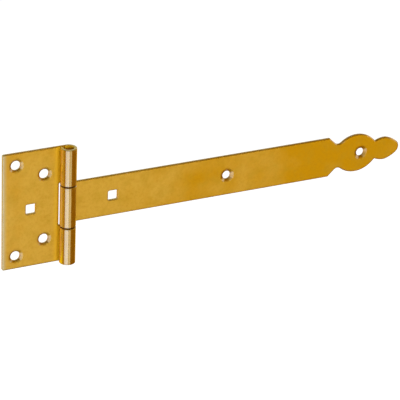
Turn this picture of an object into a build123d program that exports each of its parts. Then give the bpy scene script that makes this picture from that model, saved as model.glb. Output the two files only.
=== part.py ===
from build123d import *
import math
import os

# Ornamental T-hinge for a gate: a post plate and a long strap, each rolled from one sheet, on a plain pin.
# Millimetres. The back faces of both leaves lie on the plane Y = 0, the front is towards -Y, the strap runs
# along +X and the pin stands along Z, with the origin on the back plane behind the middle of the pin.

# Sheet, pin and barrel
sheet = 2.5
pin_diameter = 8.0
pin_clearance = 0.05
pin_recess = 2.0
pin_chamfer = 0.8
seam_gap = 0.3
knuckle_gap = 1.0

# Post plate
plate_height = 100.0
plate_reach = 54.0
plate_corner_r = 1.2
notch_gap = 0.75
notch_corner_r = 0.8

# Strap
strap_width = 35.0
strap_length = 300.0

# Ornamental end of the strap: places along X are measured back from the tip, widths are half widths
finial_length = 67.5
neck_back = 58.5
neck_half = 9.1
neck_r = 4.5
bulb_back = 41.3
bulb_half = 16.85
waist_back = 23.0
waist_half = 7.9
waist_r = 1.2
drop_back = 18.0
drop_half = 9.75
shoulder_back = 13.0
shoulder_half = 10.1
shoulder_r = 5.0
tip_r = 6.5
tip_arc = 52.0
finial_corner_r = 1.0

# Round holes, countersunk from the front, and square holes for the necks of carriage bolts
plate_hole_d = 8.1
plate_countersink_d = 12.4
outer_hole_x = 42.7
outer_hole_spacing = 78.5
inner_hole_x = 18.6
inner_hole_spacing = 56.5
strap_hole_d = 7.0
strap_countersink_d = 12.4
strap_hole_x = 143.5
tip_hole_back = 37.0
countersink_angle = 120.0
square_hole = 8.5
square_corner_r = 1.2
plate_square_x = 30.0
strap_square_x = 41.0

# Edges of the blanks, drawn in at the front by the blanking punch and broken elsewhere by tumbling
draw_in_width = 0.9
draw_in_depth = 0.45
edge_break = 0.3

# How close a corner lies to its own drawn point when it is picked for rounding
pick_distance = 0.1

# Sizes that follow from the driving ones
bore_r = pin_diameter / 2 + pin_clearance
barrel_r = bore_r + sheet
pin_centre = (0, -barrel_r)
pin_length = plate_height - 2 * pin_recess
notch_x = -math.sqrt((barrel_r + notch_gap) ** 2 - (barrel_r - sheet) ** 2)
notch_height = strap_width + 2 * knuckle_gap
end_knuckle = (plate_height - notch_height) / 2
tip_x = barrel_r + strap_length
tip_hole_x = tip_x - tip_hole_back
# The roll turns until the outer corner of its cut end stands the seam's gap off the leaf's own front face
roll_angle = 270 + math.degrees(math.asin((barrel_r - sheet - seam_gap) / barrel_r))
front_plane = Plane.XZ.offset(sheet)

os.makedirs("parts", exist_ok=True)


def rolled_knuckle(turn):
    """Draw a knuckle's section in the open sketch, rolled from behind the pin (turn 1 is anticlockwise)."""
    with BuildLine() as section:
        outer = CenterArc(pin_centre, barrel_r, 90, turn * roll_angle)
        inner = CenterArc(pin_centre, bore_r, 90, turn * roll_angle)
        Line(outer @ 0, inner @ 0)
        Line(outer @ 1, inner @ 1)
    make_face(section.edges())


def square_punch(x):
    """Cut a square hole with slightly rounded corners out of the open sketch."""
    with Locations((x, 0)):
        RectangleRounded(square_hole, square_hole, square_corner_r, mode=Mode.SUBTRACT)


def front_face(leaf):
    """The flat front of a leaf."""
    return leaf.faces().filter_by(Axis.Y).sort_by(SortBy.AREA)[-2:].sort_by(Axis.Y)[0]


def ease_front(leaf):
    """Ease the edges of a leaf's front, but not the line where the sheet starts to roll."""
    outline = front_face(leaf).outer_wire().edges()
    outline = outline.filter_by(lambda edge: abs(edge.center().X) > sheet / 2)
    chamfer(outline, draw_in_width, draw_in_depth, reference=front_face(leaf))
    chamfer(front_face(leaf).inner_wires()[0].edges(), edge_break)


def barrel_rims(leaf):
    """The outer edges at the ends of a leaf's knuckles, which run on smoothly round its back face."""
    arcs = leaf.edges().filter_by(GeomType.CIRCLE)
    return arcs.filter_by(lambda edge: abs(edge.radius - barrel_r) < pick_distance)


# Post plate with its two end knuckles
with BuildPart() as plate_leaf:
    with BuildSketch(Plane.XZ) as plate_blank:
        Rectangle(plate_reach, plate_height, align=(Align.MAX, Align.CENTER))
        fillet(plate_blank.vertices().group_by(Axis.X)[0], plate_corner_r)
        Rectangle(-notch_x, notch_height, align=(Align.MAX, Align.CENTER), mode=Mode.SUBTRACT)
        fillet(plate_blank.vertices().group_by(Axis.X)[-2], notch_corner_r)
        square_punch(-plate_square_x)
    extrude(amount=sheet)
    for bottom in (-plate_height / 2, notch_height / 2):
        with BuildSketch(Plane.XY.offset(bottom)):
            rolled_knuckle(-1)
        extrude(amount=end_knuckle)
    ease_front(plate_leaf)
    chamfer(barrel_rims(plate_leaf), edge_break)
    with Locations(front_plane):
        for hole_x, spacing in ((outer_hole_x, outer_hole_spacing), (inner_hole_x, inner_hole_spacing)):
            with Locations((-hole_x, spacing / 2), (-hole_x, -spacing / 2)):
                CounterSinkHole(
                    plate_hole_d / 2, plate_countersink_d / 2, counter_sink_angle=countersink_angle
                )

# Strap with its middle knuckle and its ornamental end
with BuildPart() as strap_leaf:
    with BuildSketch(Plane.XZ) as strap_blank:
        with BuildLine():
            corner = (tip_x - finial_length, strap_width / 2)
            neck = (tip_x - neck_back, neck_half)
            waist = (tip_x - waist_back, waist_half)
            shoulder = (tip_x - shoulder_back, shoulder_half)
            Polyline((0, 0), (0, strap_width / 2), corner, neck)
            ThreePointArc(neck, (tip_x - bulb_back, bulb_half), waist)
            ThreePointArc(waist, (tip_x - drop_back, drop_half), shoulder)
            tip = CenterArc((tip_x - tip_r, 0), tip_r, 0, tip_arc)
            TangentArc(tip @ 1, shoulder, tangent=tip % 1)
            mirror(about=Plane.XZ)
        make_face()
        finial_rounds = (
            (corner, finial_corner_r),
            (neck, neck_r),
            (waist, waist_r),
            (shoulder, shoulder_r),
        )
        for place, radius in finial_rounds:
            ends = strap_blank.vertices().filter_by(
                lambda v: math.dist((v.X, abs(v.Y)), place) < pick_distance
            )
            fillet(ends, radius)
        square_punch(strap_square_x)
    extrude(amount=sheet)
    with BuildSketch(Plane.XY.offset(-strap_width / 2)):
        rolled_knuckle(1)
    extrude(amount=strap_width)
    ease_front(strap_leaf)
    chamfer(barrel_rims(strap_leaf), edge_break)
    with Locations(front_plane):
        with Locations((strap_hole_x, 0), (tip_hole_x, 0)):
            CounterSinkHole(strap_hole_d / 2, strap_countersink_d / 2, counter_sink_angle=countersink_angle)

# Plain pin, a little shorter than the barrel
with BuildPart() as hinge_pin:
    with BuildSketch(Plane.XY.offset(-pin_length / 2)):
        with Locations(pin_centre):
            Circle(pin_diameter / 2)
    extrude(amount=pin_length)
    chamfer(hinge_pin.edges().filter_by(GeomType.CIRCLE), pin_chamfer)

plate_leaf.part.label = "plate_leaf"
strap_leaf.part.label = "strap_leaf"
hinge_pin.part.label = "hinge_pin"
export_step(plate_leaf.part, "parts/plate_leaf.step")
export_step(strap_leaf.part, "parts/strap_leaf.step")
export_step(hinge_pin.part, "parts/hinge_pin.step")
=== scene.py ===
# %% [markdown]
# # An ornamental gate hinge in yellow-passivated zinc
# A T-hinge carries a garden gate. A short plate is screwed to the post and a long strap to the
# gate, and both are rolled round one steel pin. The CAD model already holds these three pieces at
# their real sizes, so they aren't modelled again here. The lesson loads them as a fixed frame,
# gives each surface the finish of plated sheet steel and builds a small white studio round them.
# Nothing in it moves or reshapes a CAD piece.

# %% Load the frame
import math
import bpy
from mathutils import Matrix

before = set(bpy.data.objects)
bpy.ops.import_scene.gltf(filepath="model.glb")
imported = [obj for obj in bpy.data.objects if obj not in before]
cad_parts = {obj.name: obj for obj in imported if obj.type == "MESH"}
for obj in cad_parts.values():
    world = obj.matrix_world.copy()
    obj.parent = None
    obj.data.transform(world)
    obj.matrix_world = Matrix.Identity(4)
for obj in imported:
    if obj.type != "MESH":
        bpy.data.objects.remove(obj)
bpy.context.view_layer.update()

from types import SimpleNamespace

import bpy
from mathutils import Matrix, Vector

print("pieces:", sorted(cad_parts))

# %% [markdown]
# ## Shader maths in plain code
# A finish is mostly arithmetic on numbers that change over the surface. In the shader editor,
# each sum is a Math node that has to be placed and wired by hand. Here one small class wraps a
# node's output instead, so that `1 - mask` or `noise * 0.2` adds its Math node by itself and a
# finish reads like a recipe. Its `node` method makes every other kind of node: first the
# settings, then the sockets.


# %% A wrapper for shader sockets
class Wire:
    """One output socket of a node tree, with operators that add Math nodes."""

    def __init__(self, tree, socket=None):
        self.tree, self.socket = tree, socket

    def node(self, kind, settings=None, sockets=None, out=0):
        """Make a node, set it up, feed its sockets and return one of its outputs as a Wire."""
        made = self.tree.nodes.new(kind)
        for name, value in (settings or {}).items():
            setattr(made, name, value)
        for key, value in (sockets or {}).items():
            if isinstance(value, Wire):
                self.tree.links.new(value.socket, made.inputs[key])
            else:
                made.inputs[key].default_value = value
        return made if out is None else Wire(self.tree, made.outputs[out])

    def math(self, operation, first, second=0.0):
        return self.node("ShaderNodeMath", {"operation": operation}, {0: first, 1: second})

    def __add__(self, other):
        return self.math("ADD", self, other)

    def __sub__(self, other):
        return self.math("SUBTRACT", self, other)

    def __rsub__(self, other):
        return self.math("SUBTRACT", other, self)

    def __mul__(self, other):
        return self.math("MULTIPLY", self, other)

    def __pow__(self, other):
        return self.math("POWER", self, other)

    def __abs__(self):
        return self.math("ABSOLUTE", self)

    __radd__ = __add__

    def ramp(self, low, high):
        """0 below low, 1 above high, and a smooth step between them."""
        limits = {"Value": self, "From Min": low, "From Max": high}
        return self.node("ShaderNodeMapRange", {"interpolation_type": "SMOOTHSTEP"}, limits)

    def tint(self, start, end):
        """A colour that goes from start to end as this value goes from 0 to 1."""
        mix = {"Factor": self, 6: start, 7: end}
        return self.node("ShaderNodeMix", {"data_type": "RGBA"}, mix, out=2)

    def axis(self, name):
        """One coordinate of a vector."""
        return self.node("ShaderNodeSeparateXYZ", sockets={0: self}, out=name)


print("Wire adds Math nodes for + - * ** and abs")

# %% [markdown]
# ## Colours by their screen values
# The renderer reckons with linear light, but a colour is easier to choose as the three numbers
# from 0 to 255 that a screen shows. A colour picker converts one colour at a time. A function
# converts them all and leaves readable numbers in the script.


# %% Screen colours
def srgb(red, green, blue):
    """The linear colour of an 8-bit screen colour, by the formula of the sRGB standard."""
    def linear(value):
        share = value / 255
        return share / 12.92 if share <= 0.04045 else ((share + 0.055) / 1.055) ** 2.4
    return (linear(red), linear(green), linear(blue), 1.0)


print("golden yellow, linear:", [round(value, 3) for value in srgb(203, 157, 55)])

# %% [markdown]
# ## Empty finishes and noise
# Every finish starts from an empty node tree. The clouds in the plating, the grain of the rolled
# sheet and the fine scuffs on the barrel are all noise of different sizes. They could be painted
# as pictures, but noise on Object coordinates needs no unwrapping, is sharp at any distance and
# keeps its place on the metal when the strap swings.


# %% Helpers for finishes
def new_finish(name):
    """An empty material and a Wire that makes its nodes."""
    material = bpy.data.materials.new(name)
    material.use_nodes = True
    material.node_tree.nodes.clear()
    return material, Wire(material.node_tree)


def show(surface):
    """Send a shader to its material's output."""
    surface.node("ShaderNodeOutputMaterial", sockets={"Surface": surface}, out=None)


def noise(place, scale, detail, stretch=(1, 1, 1), rough=0.5, shift=(0, 0, 0)):
    """Noise between 0 and 1; a small stretch draws it out along that axis, a shift moves it."""
    moved = {"Vector": place, "Scale": stretch, "Location": shift}
    spot = place.node("ShaderNodeMapping", sockets=moved)
    settings = {"Vector": spot, "Scale": scale, "Detail": detail, "Roughness": rough}
    return place.node("ShaderNodeTexNoise", sockets=settings)


print("noise is measured in features per metre, on Object coordinates")

# %% [markdown]
# ## Zones that the tools left
# The flat sheet of the real hinge is satin. The rolled barrel, the punched edges and the
# countersinks are burnished by their tools. The joints between the knuckles are darkened as dark
# grease and as painted shade.
# Each zone could get its own material, face by face, but then every border would be a hard line.
# Here each zone is a soft mask that follows from a plain measure: the distance from the pin's
# axis, the height along it or the way the surface faces. A Bevel node rounds that direction near
# the edges, so they catch the light.

# %% Masks of the tools' zones
PIN_Y = -0.00655                                     # the pin's axis, in metres
BORE_R, BARREL_R = 0.00405, 0.00655
BORE_FADE = (BORE_R + 0.0001, BORE_R + 0.0006)
BARREL_FADE = (BARREL_R + 0.00005, BARREL_R + 0.0002)
STRAP_HALF, JOINT_GAP = 0.0175, 0.001                # half the strap's width, between two knuckles
JOINT_FADE = (JOINT_GAP * 0.45, JOINT_GAP * 0.65)
FLAT_FADE = (0.82, 0.985)                            # how squarely the flat sheet faces Y


def from_axis(place):
    """The distance from the pin's axis."""
    return (place.axis("X") ** 2 + (place.axis("Y") - PIN_Y) ** 2) ** 0.5


def tool_zones(place, soft):
    """Masks for the parts of a leaf that the tools left different from the flat sheet."""
    turn = {"vector_type": "NORMAL", "convert_from": "WORLD", "convert_to": "OBJECT"}
    facing = place.node("ShaderNodeVectorTransform", turn, {"Vector": soft})
    radius = from_axis(place)
    from_joint = abs(abs(place.axis("Z")) - (STRAP_HALF + JOINT_GAP / 2))
    zones = SimpleNamespace()
    zones.barrel = 1 - radius.ramp(*BARREL_FADE)
    zones.bore = 1 - radius.ramp(*BORE_FADE)
    zones.satin = abs(facing.axis("Y")).ramp(*FLAT_FADE) * (1 - zones.barrel)
    zones.edge = (1 - zones.satin) * (1 - zones.barrel)
    # the joints: dark grease and painted shade between the knuckles
    zones.joint = zones.barrel * (1 - from_joint.ramp(*JOINT_FADE))
    zones.dull = place.math("MAXIMUM", zones.joint, zones.bore)
    return zones


print("barrel", BARREL_R * 2000, "mm across, bore", BORE_R * 2000, "mm")

# %% [markdown]
# ## Zones that plating and use left, and painted light
# The groove where a knuckle closes on its leaf reflects itself, and that reflection is painted in
# as deep yellow. Towards the strap's far end the colour deepens to amber, and along the plate's
# outer edge a pale tint is a painted highlight. Fine scuffs run up the round of the barrel. A
# bright stripe along its flank is a painted reflection, kept in the finish, where it stays put.
# All of these lie at known places on the leaf, so they are masks on its coordinates too, which
# costs no painted picture.

# %% Masks of the worn zones
GROOVE_X, GROOVE_Y, GROOVE_FADE = 0.0052, -0.0025, (0.0010, 0.0090)
FAR_END = (0.05, 0.25)                               # along the strap, in metres
OUTER_EDGE = (-0.0542, -0.0498)                      # along the plate
STRIPE_Y, STRIPE_FADE, STRIPE_SIDE = PIN_Y - 0.0015, (0.0003, 0.0016), (-0.005, -0.003)
PATCHES = {"scale": 120, "detail": 5, "rough": 0.6}
GRAIN = {"scale": 900, "detail": 3, "stretch": (0.06, 1, 1)}
SCUFFS = {"scale": 1500, "detail": 3, "stretch": (1, 1, 0.05)}
SCUFF_FADE = (0.56, 0.72)


def add_worn_zones(place, zones, groove_x, groove_reflection_share):
    """Add the masks and noises that plating and use left to a leaf's zones."""
    along, out = place.axis("X"), place.axis("Y")
    from_groove = ((along - groove_x) ** 2 + (out - GROOVE_Y) ** 2) ** 0.5
    flank = (1 - abs(out - STRIPE_Y).ramp(*STRIPE_FADE)) * (1 - along.ramp(*STRIPE_SIDE))
    # the groove mask carries a painted reflection: deep yellow where the sheet faces its own
    # knuckle
    zones.groove = (1 - from_groove.ramp(*GROOVE_FADE)) * groove_reflection_share
    zones.far_end = along.ramp(*FAR_END)
    # a painted highlight along the plate's outer edge
    zones.pale = 1 - along.ramp(*OUTER_EDGE)
    # the stripe is a painted reflection along the barrel's flank
    zones.stripe = zones.barrel * flank
    zones.patch = noise(place, **PATCHES)
    zones.grain = noise(place, **GRAIN)
    zones.scuff = noise(place, **SCUFFS).ramp(*SCUFF_FADE) * (zones.barrel - zones.dull)


print("film deepens from", FAR_END[0], "to", FAR_END[1], "m along the strap")

# %% [markdown]
# ## Colour of the yellow film
# Zinc-plated steel is dipped in a bath that leaves a thin yellow film, cloudy from straw to amber
# with olive patches and small rusty specks. One flat yellow would look like paint. So the colour
# is mixed as the bath does it: broad banks and smaller clouds set the film's depth, and patches
# and specks go over that. Each zone then pulls the colour its own way, as far as the share beside
# it says. Some of these pulls are painted light: a painted reflection in the grooves and on the
# barrel's flank, a painted highlight on the plate's outer edge and painted shade on the cut edges
# and in the joints.

# %% Film colour
CLOUDS = {"scale": 38, "detail": 4, "shift": (0.822, 0.0, 1.266)}
BANKS = {"scale": 9, "detail": 1, "shift": (4.36, 0.0, 3.96)}
SPECKS = {"scale": 420, "detail": 5, "rough": 0.7}
PATCH_FADE, SPECK_FADE = (0.40, 0.75), (0.40, 0.80)
MEAN_NOISE = 0.5
BASE_DEPTH, END_DEPTH, CLOUD_DEPTH, BANK_DEPTH = 0.2, 1.1, 2.0, 2.3
STRAW, AMBER = srgb(226, 180, 66), srgb(214, 156, 0)
OLIVE, RUST = srgb(200, 158, 36), srgb(196, 134, 14)
# the olive also darkens the cut edges as painted shade; the pale tint is a painted highlight on
# the plate's outer edge
EDGE_OLIVE_AND_SHADE, PALE_EDGE_HIGHLIGHT = srgb(138, 116, 14), srgb(206, 202, 160)
# the two colours of painted reflection: the deep yellow of the grooves and the bright stripe on
# the barrel's flank
GROOVE_REFLECTION_GOLD, STRIPE_HIGHLIGHT_GOLD = srgb(246, 195, 20), srgb(255, 212, 30)
# the grease brown also serves as painted shade in the joints
BORE_BROWN, GREASE_AND_SHADE_BROWN = srgb(198, 150, 12), srgb(158, 100, 2)


def film_colour(place, zones):
    """The film's colour over a leaf."""
    clouds = (noise(place, **CLOUDS) - MEAN_NOISE) * CLOUD_DEPTH
    banks = (noise(place, **BANKS) - MEAN_NOISE) * BANK_DEPTH
    specks = noise(place, **SPECKS).ramp(*SPECK_FADE)
    tone = (zones.far_end * END_DEPTH + clouds + banks + BASE_DEPTH).tint(STRAW, AMBER)
    pulls = (
        (zones.patch.ramp(*PATCH_FADE) * 0.5, OLIVE),
        (specks * 0.5, RUST),
        # olive on the burnished metal, which also darkens the cut edges as painted shade
        ((1 - zones.satin) * 0.25, EDGE_OLIVE_AND_SHADE),
        # painted highlight: the plate's outer edge is tinted pale
        (zones.pale * 0.7, PALE_EDGE_HIGHLIGHT),
        # painted reflection: the groove beside the knuckle is tinted deep yellow
        (zones.groove ** 2 * 0.8, GROOVE_REFLECTION_GOLD),
        # painted reflection: a bright stripe along the barrel's flank
        (zones.stripe * 0.7, STRIPE_HIGHLIGHT_GOLD),
        (zones.bore, BORE_BROWN),
        # dark grease and painted shade in the joints between the knuckles
        (zones.joint, GREASE_AND_SHADE_BROWN),
    )
    for share, colour in pulls:
        tone = share.tint(tone, colour)
    return tone


print("film from straw", [round(value, 2) for value in STRAW[:3]],
      "to amber", [round(value, 2) for value in AMBER[:3]])

# %% [markdown]
# ## Gloss of the yellow film
# The film is clear and lies over metal, so the shader has a metal base under a hard coat that
# reflects strongly. A plain metal would be too dark between its reflections, and a plain plastic
# On the satin sheet the metal and the coat are turned down and the roughness up, with
# a fine grain along the strap. The joints, darkened as grease and as painted shade, the grooves
# with their painted reflection and the edges take more of the coat away.

# %% Yellow zinc finish
EDGE_ROUND, EDGE_SAMPLES = 0.0022, 6
POLISHED_ROUGH, SATIN_ROUGH, GRAIN_ROUGH, DULL_ROUGH, SCUFF_ROUGH = 0.26, 0.18, 0.12, 0.3, 0.1
SATIN_METAL_LOSS, BORE_METAL_LOSS = 0.7, 0.8
SATIN_COAT_LOSS, FAR_COAT_LOSS = 0.6, 0.2
COAT_LOSS = {"dull": 0.85, "joint": 1.0, "scuff": 0.25, "groove": 1.0, "edge": 0.5}
COAT_IOR, COAT_ROUGH, SPECULAR = 3.6, 0.12, 0.1
BUMP_STRENGTH, BUMP_DEPTH, PATCH_HEIGHT = 0.15, 0.00005, 0.5
# how strongly each leaf's groove takes the painted reflection
PLATE_GROOVE_REFLECTION, STRAP_GROOVE_REFLECTION = 1.0, 0.25               # how deep each leaf's groove looks


def yellow_zinc(name, groove_x, groove_reflection_share):
    """The finish of one leaf, with the groove of its knuckle at groove_x."""
    material, start = new_finish(name)
    place = start.node("ShaderNodeTexCoord", out="Object")
    soft = start.node("ShaderNodeBevel", {"samples": EDGE_SAMPLES}, {"Radius": EDGE_ROUND})
    zones = tool_zones(place, soft)
    add_worn_zones(place, zones, groove_x, groove_reflection_share)
    satin, grain = zones.satin, zones.grain

    coat = 1 - satin * (SATIN_COAT_LOSS + zones.far_end * FAR_COAT_LOSS)
    for zone, loss in COAT_LOSS.items():
        coat = coat * (1 - getattr(zones, zone) * loss)
    rough = POLISHED_ROUGH + satin * (SATIN_ROUGH + grain * GRAIN_ROUGH)
    height = (grain + zones.patch * PATCH_HEIGHT) * satin
    bump = start.node("ShaderNodeBump", sockets={
        "Strength": BUMP_STRENGTH, "Distance": BUMP_DEPTH, "Height": height, "Normal": soft})
    show(start.node("ShaderNodeBsdfPrincipled", sockets={
        "Base Color": film_colour(place, zones),
        "Metallic": 1 - satin * SATIN_METAL_LOSS - zones.bore * BORE_METAL_LOSS,
        "Specular IOR Level": SPECULAR,
        "Roughness": rough + zones.dull * DULL_ROUGH + zones.scuff * SCUFF_ROUGH,
        "Coat Weight": coat,
        "Coat IOR": COAT_IOR,
        "Coat Roughness": COAT_ROUGH,
        "Normal": bump,
    }))
    return material


plate_finish = yellow_zinc("plate_zinc_finish", -GROOVE_X, PLATE_GROOVE_REFLECTION)
strap_finish = yellow_zinc("strap_zinc_finish", GROOVE_X, STRAP_GROOVE_REFLECTION)
for finish in (plate_finish, strap_finish):
    print(finish.name, "has", len(finish.node_tree.nodes), "nodes")

# %% [markdown]
# ## Drawn steel of the pin
# The pin is cut from drawn wire. Its ends show the rings of the cut in a dark tone, and its
# shank, which shows only in the joints between the knuckles, is tinted bright as painted light
# against the shade there. The rings could be modelled, but they are finer than a hair, so noise
# that depends on the distance from the axis alone makes them. The streaks of the wire are noise
# drawn out along Z.

# %% Pin finish
RINGS = {"scale": 3000, "detail": 3}
STREAKS = {"scale": 1200, "detail": 3, "stretch": (1, 1, 0.03)}
RING_SHARE, STREAK_SHARE = 0.5, 0.5
SHANK_FADE = (0.030, 0.040)                          # from the pin's middle towards its ends
# the bright shank colour is painted light against the shade in the joints
DARK_STEEL, LIGHT_STEEL, SHANK_PAINTED_LIGHT = srgb(142, 88, 8), srgb(172, 114, 18), srgb(240, 170, 20)
PIN_METAL, PIN_ROUGH, RING_ROUGH, RING_BUMP = 0.9, 0.4, 0.15, 0.2


def pin_steel(name):
    """The finish of the pin."""
    material, start = new_finish(name)
    place = start.node("ShaderNodeTexCoord", out="Object")
    rings = noise(start.node("ShaderNodeCombineXYZ", sockets={"X": from_axis(place)}), **RINGS)
    streaks = noise(place, **STREAKS)
    shank = 1 - abs(place.axis("Z")).ramp(*SHANK_FADE)
    tone = (rings * RING_SHARE + streaks * STREAK_SHARE).tint(DARK_STEEL, LIGHT_STEEL)
    bump = start.node("ShaderNodeBump", sockets={
        "Strength": RING_BUMP, "Distance": BUMP_DEPTH, "Height": rings})
    show(start.node("ShaderNodeBsdfPrincipled", sockets={
        # painted light: the pin's middle, seen in the joints, is tinted bright
        "Base Color": shank.tint(tone, SHANK_PAINTED_LIGHT),
        "Metallic": PIN_METAL,
        "Roughness": PIN_ROUGH + rings * RING_ROUGH,
        "Normal": bump,
    }))
    return material


pin_finish = pin_steel("pin_steel_finish")
print(pin_finish.name, "has", len(pin_finish.node_tree.nodes), "nodes")

# %% [markdown]
# ## Dressing the three pieces
# Each CAD piece comes with a plain stand-in material. A new piece could be laid over it, but the
# shape is already right, so only the material in its slot is exchanged.

# %% Give each piece its finish
FINISHES = {"plate_leaf": plate_finish, "strap_leaf": strap_finish, "hinge_pin": pin_finish}
for piece, finish in FINISHES.items():
    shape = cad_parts[piece]
    shape.data.materials.clear()
    shape.data.materials.append(finish)
    print(piece, "gets", finish.name)

# %% [markdown]
# ## Camera
# The photograph looks down on the hinge from the plate's side with a long lens. The camera could
# be aimed by eye, but here its view was fitted to the hinge's outline and holes: a turn about Z,
# a tilt, a little roll, a distance and a focal length in pixels. Three directions at right angles
# then make its matrix.

# %% Camera at the photograph's view
TURN, TILT, ROLL = 0.480012, 0.438573, 0.042997      # radians
DISTANCE = 1.937665
TARGET = Vector((0.119519, -0.0025, -0.018034))
FOCAL_PIXELS, IMAGE_PIXELS, SENSOR_MM = 2372.965, 400, 36.0
FARTHEST_SEEN = 50


def add_object(name, data):
    """A new object in the scene."""
    made = bpy.data.objects.new(name, data)
    bpy.context.scene.collection.objects.link(made)
    return made


ahead = Vector((
    math.sin(TURN) * math.cos(TILT), math.cos(TURN) * math.cos(TILT), -math.sin(TILT)))
level = Vector((math.cos(TURN), -math.sin(TURN), 0))
upward = level.cross(ahead)
right = level * math.cos(ROLL) + upward * math.sin(ROLL)
top = upward * math.cos(ROLL) - level * math.sin(ROLL)
eye = TARGET - ahead * DISTANCE

camera_data = bpy.data.cameras.new("camera")
camera_data.sensor_fit = "HORIZONTAL"
camera_data.sensor_width = SENSOR_MM
camera_data.lens = FOCAL_PIXELS / IMAGE_PIXELS * SENSOR_MM
camera_data.clip_end = FARTHEST_SEEN
camera = add_object("camera", camera_data)
camera.matrix_world = Matrix((
    (right.x, top.x, -ahead.x, eye.x),
    (right.y, top.y, -ahead.y, eye.y),
    (right.z, top.z, -ahead.z, eye.z),
    (0, 0, 0, 1),
))
bpy.context.scene.camera = camera
print("camera at", [round(value, 3) for value in eye], "lens", round(camera_data.lens, 1), "mm")

# %% [markdown]
# ## White floor
# The hinge is photographed on pure white, with no shadow near it. More lamps on the floor would
# make it white too, but they would also bleach the metal. So the floor lies far below, where the
# shadow falls out of the picture, and it glows only for rays that the camera or a reflection
# sends out.

# %% Floor
FLOOR_Z, FLOOR_HALF = -0.6, 6
FLOOR_GREY, WHITE = (0.5, 0.5, 0.5, 1), (1, 1, 1, 1)
FLOOR_GLOW, CAMERA_GLOW = 0.70, 0.10


def seen_directly(start):
    """1 for rays from the camera and for reflected or transmitted ones, 0 for diffuse light."""
    path = [start.node("ShaderNodeLightPath", out=name)
            for name in ("Is Camera Ray", "Is Glossy Ray", "Is Transmission Ray")]
    return start.math("MAXIMUM", start.math("MAXIMUM", path[0], path[1]), path[2])


bpy.context.scene.view_settings.view_transform = "Standard"
floor_mesh = bpy.data.meshes.new("floor")
floor_corners = [(x * FLOOR_HALF, y * FLOOR_HALF, FLOOR_Z)
                 for x, y in ((-1, -1), (1, -1), (1, 1), (-1, 1))]
floor_mesh.from_pydata(floor_corners, [], [(0, 1, 2, 3)])
floor = add_object("floor", floor_mesh)
floor_finish, start = new_finish("floor_white")
camera_ray = start.node("ShaderNodeLightPath", out="Is Camera Ray")
matte = start.node("ShaderNodeBsdfDiffuse", sockets={"Color": FLOOR_GREY})
floor_glow = seen_directly(start) * FLOOR_GLOW + camera_ray * CAMERA_GLOW
glow = start.node("ShaderNodeEmission", sockets={"Color": WHITE, "Strength": floor_glow})
show(start.node("ShaderNodeAddShader", sockets={0: matte, 1: glow}))
floor_mesh.materials.append(floor_finish)
print("floor at", FLOOR_Z, "m")

# %% [markdown]
# ## White room
# Beyond the floor the photograph is white as well, and a little of that light falls on the hinge
# from all sides. A picture of a real studio could be wrapped round the scene, but plain white is
# enough. It is full white for the camera and for reflections, and less than half as strong as
# light, so the colours of the film stay as they are written.

# %% World
ROOM_LIGHT, ROOM_GLOW = 0.4, 0.6

world = bpy.data.worlds.new("studio")
world.use_nodes = True
world.node_tree.nodes.clear()
start = Wire(world.node_tree)
room_glow = seen_directly(start) * ROOM_GLOW + ROOM_LIGHT
room = start.node("ShaderNodeBackground", sockets={"Color": WHITE, "Strength": room_glow})
start.node("ShaderNodeOutputWorld", sockets={"Surface": room}, out=None)
bpy.context.scene.world = world
print("room light", ROOM_LIGHT, "and white where it is seen")

# %% [markdown]
# ## Lamps
# The photograph has soft light from the front and above. Small lamps would draw hard dots on the
# barrel, so two large soft boxes light the film evenly. They are left out of reflections, which
# come from the cards of the next step.

# %% Two soft boxes
MIDDLE = (0.12, -0.003, 0)                           # the middle of the hinge, where they aim
BOX_SIDE = 1.0
LAMPS = {"front_lamp": ((0.25, -1.6, 0.7), 20), "top_lamp": ((0.2, -0.3, 1.3), 8)}


def softbox(name, position, watts):
    """A square lamp that aims at the hinge and doesn't show in reflections."""
    data = bpy.data.lights.new(name, "AREA")
    data.shape, data.size, data.size_y, data.energy = "RECTANGLE", BOX_SIDE, BOX_SIDE, watts
    lamp = add_object(name, data)
    lamp.location = position
    aim = Vector(MIDDLE) - Vector(position)
    lamp.rotation_euler = aim.to_track_quat("-Z", "Y").to_euler()
    lamp.visible_camera = lamp.visible_glossy = False


for name, (position, watts) in LAMPS.items():
    softbox(name, position, watts)
    print(name, "at", position, "with", watts, "W")

# %% [markdown]
# ## Cards for the reflections
# Polished metal has hardly any look of its own: it shows what stands round it. A photographer
# puts up coloured cards, called flags, to give a round barrel its bright and dark lines. An
# all-white room would make it milky. Lines painted on the barrel would be wrong from every other
# side, so apart from the one stripe on its flank none is in the finish. Flat cards of one plain
# colour each stand well away from the hinge instead, and only reflections see them.


# %% Helpers for cards
def wall(begin, end, low, high):
    """The corners of an upright card between two points of the plan."""
    return [(*begin, low), (*end, low), (*end, high), (*begin, high)]


def flat(west, south, east, north, height):
    """The corners of a level card."""
    plan = ((west, south), (east, south), (east, north), (west, north))
    return [(x, y, height) for x, y in plan]


def flag(name, quads, colour):
    """A flag that only reflections see: some flat cards of one plain colour."""
    corners = [corner for quad in quads for corner in quad]
    faces = [tuple(range(4 * i, 4 * i + 4)) for i in range(len(quads))]
    mesh = bpy.data.meshes.new(name)
    mesh.from_pydata(corners, [], faces)
    cards = add_object(name, mesh)
    material, start = new_finish(name)
    show(start.node("ShaderNodeEmission", sockets={"Color": colour, "Strength": 1.0}))
    mesh.materials.append(material)
    cards.visible_camera = cards.visible_diffuse = cards.visible_shadow = False
    print(name, "has", len(quads), "cards")


print("a card has", len(flat(0, 0, 1, 1, FLOOR_Z)), "corners")

# %% [markdown]
# ## Cards before the hinge
# On the right, brown cards give the barrel its dark side and the flat sheet its warm tone. Beside
# them, a warm and a pale card make the two bright lines on the barrel. An olive card on the floor
# shows in the lower edges. Each card could be a lamp, but then it would light the sheet as well.

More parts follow.
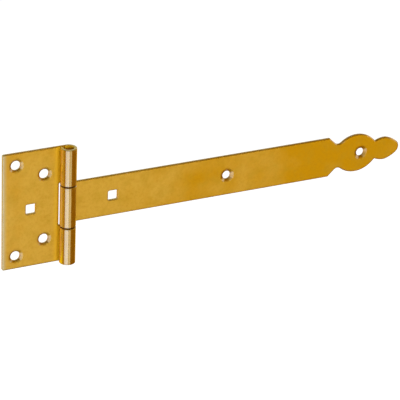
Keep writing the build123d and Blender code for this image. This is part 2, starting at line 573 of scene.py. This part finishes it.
# %% Front and lower flags
LOW, BELOW_HINGE, TALL, HIGH = FLOOR_Z + 0.01, -0.05, 0.4, 1.0             # heights
FRONT, NORTH, EAST = -0.9, 1.2, 1.4                                        # in the plan
LINE_WEST, FLOOR_SPLIT, LINE_EAST = 0.04, 0.29, 0.30                       # where cards meet

flag("right_flag", [
    wall((LINE_EAST, FRONT), (EAST, FRONT), LOW, HIGH),
    wall((EAST, FRONT), (EAST, NORTH), LOW, BELOW_HINGE),
    flat(FLOOR_SPLIT, FRONT, EAST, NORTH, LOW),
], srgb(155, 106, 12))
flag("warm_flag", [
    wall((-0.2, FRONT), (LINE_WEST, FRONT), LOW, TALL),
], srgb(208, 192, 142))
flag("line_flag", [
    wall((LINE_WEST, FRONT), (LINE_EAST, FRONT), LOW, TALL),
], srgb(250, 236, 182))
flag("lower_flag", [flat(-0.3, -0.45, FLOOR_SPLIT, 0.5, LOW)], srgb(160, 138, 50))

# %% [markdown]
# ## Cards behind, beside and above
# The upper edges and the top of the barrel see a pale card high behind the hinge, and its left
# flank sees gold and brown ones. A wide gold card far behind gives the hinge's back the same warm
# look as its front. A dark card high in front shows in the lower rims of the countersinks, and
# olive cards overhead close the room, so that no edge flashes white. None of them stands where
# the strap swings.

# %% Back, side and upper flags
FAR_LOW, EYE_LEVEL, OVER_HINGE, ROOM_TOP = FLOOR_Z + 0.02, 0.3, 0.45, 1.6   # heights
ROOM_HALF, LEFT, BACK_WEST, BACK_NEAR, BACK_DEEP = 2, -0.5, -1.5, 0.5, 1.5  # in the plan
LEFT_SPLIT, FRONT_SPLIT = 0.02, 0.3                                         # where cards meet

flag("back_flag", [
    wall((-ROOM_HALF, ROOM_HALF), (ROOM_HALF, ROOM_HALF), EYE_LEVEL, ROOM_TOP),
], srgb(206, 206, 160))
flag("gold_flag", [
    wall((LEFT, LEFT_SPLIT), (LEFT, BACK_NEAR), LOW, EYE_LEVEL),
], srgb(255, 224, 30))
flag("far_flag", [
    flat(BACK_WEST, BACK_NEAR, ROOM_HALF, BACK_DEEP, FAR_LOW),
    wall((BACK_WEST, BACK_DEEP), (ROOM_HALF, BACK_DEEP), FAR_LOW, BELOW_HINGE),
], srgb(252, 204, 40))
flag("left_flag", [
    wall((LEFT, -0.25), (LEFT, LEFT_SPLIT), LOW, EYE_LEVEL),
], srgb(182, 128, 25))
flag("front_flag", [
    wall((-ROOM_HALF, -ROOM_HALF), (FRONT_SPLIT, -ROOM_HALF), OVER_HINGE, ROOM_TOP),
], srgb(95, 72, 6))
flag("upper_flag", [
    wall((FRONT_SPLIT, -ROOM_HALF), (ROOM_HALF, -ROOM_HALF), OVER_HINGE, ROOM_TOP),
    wall((ROOM_HALF, -ROOM_HALF), (ROOM_HALF, ROOM_HALF), 0.9, ROOM_TOP),
    wall((-ROOM_HALF, ROOM_HALF), (-ROOM_HALF, -ROOM_HALF), OVER_HINGE, ROOM_TOP),
    flat(-ROOM_HALF, -ROOM_HALF, ROOM_HALF, ROOM_HALF, ROOM_TOP),
], srgb(156, 138, 50))
